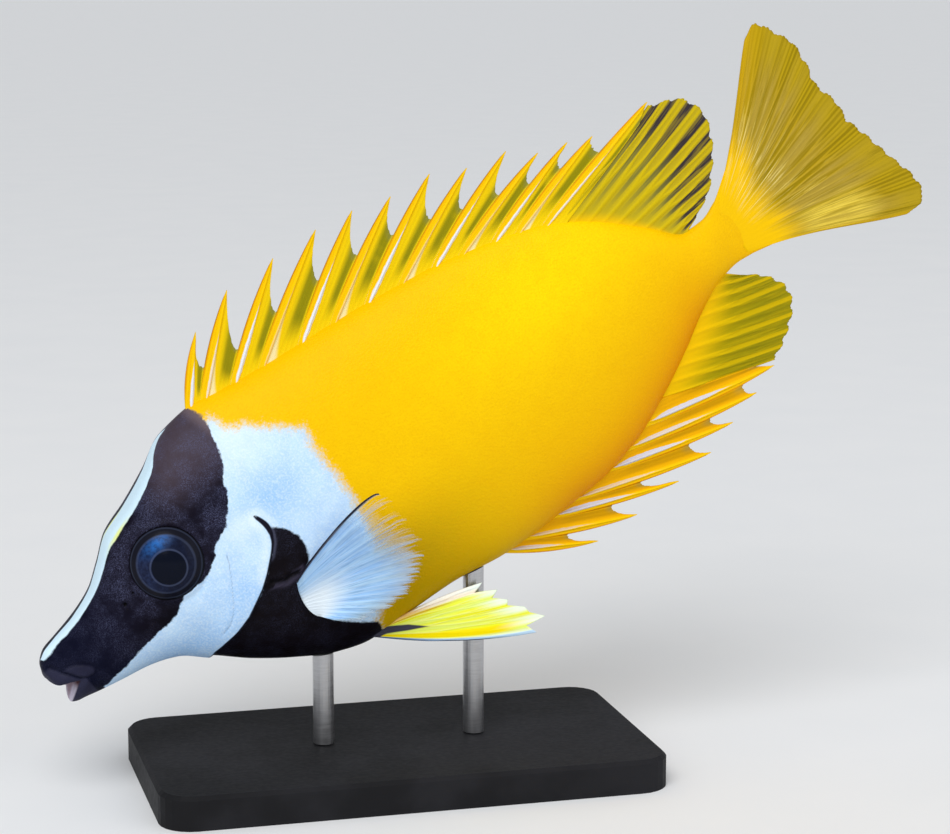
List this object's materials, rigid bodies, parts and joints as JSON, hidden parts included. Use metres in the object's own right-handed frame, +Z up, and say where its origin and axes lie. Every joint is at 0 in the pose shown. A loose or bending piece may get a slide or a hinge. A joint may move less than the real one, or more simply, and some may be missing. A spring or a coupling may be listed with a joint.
{
  "type": "foxface rabbitfish display model",
  "caption": "Life-size still model of a foxface rabbitfish, deep narrow body with spiny fins spread, held nose down on a flat base by two short rods.",
  "frame": {"origin": "centre of the underside of the stand's base", "axes": "+Z up from the table, the fish faces -X with its nose down and its left flank to -Y, the tail bends gently towards +Y"},
  "size_m": [0.1973, 0.058, 0.1553],
  "materials": {
    "head_skin": "satin, purplish brown-black with a white blaze and cheek",
    "trunk_skin": "satin, saturated yellow with a bluish-white shoulder and a black breast",
    "stalk_skin": "satin, yellow shading to orange below",
    "dorsal_spiny": "satin, yellow spines with orange edges and pale streaks",
    "dorsal_soft": "satin, yellow rays on dusky membrane",
    "anal_spiny": "satin, orange-yellow spines with pale streaks",
    "anal_soft": "satin, yellow rays on olive membrane",
    "caudal": "satin, golden rays on dull olive membrane",
    "pectoral": "satin, bluish white with a dark leading ray",
    "pelvic": "satin, lemon with a blue-grey outer spine",
    "eye": "polished, very dark blue with a black pupil",
    "stand": "matte black",
    "rod": "brushed"
  },
  "bodies": {
    "root": {"head": "head_skin", "trunk": "trunk_skin", "tail_stalk": "stalk_skin", "dorsal_fin_spiny": "dorsal_spiny", "dorsal_fin_soft": "dorsal_soft", "anal_fin_spiny": "anal_spiny", "anal_fin_soft": "anal_soft", "caudal_fin": "caudal", "pectoral_fin_left": "pectoral", "pectoral_fin_right": "pectoral", "pelvic_fin_left": "pelvic", "pelvic_fin_right": "pelvic", "eye_left": "eye", "eye_right": "eye", "stand_base": "stand", "stand_rod_front": "rod", "stand_rod_back": "rod"}
  },
  "joints": []
}
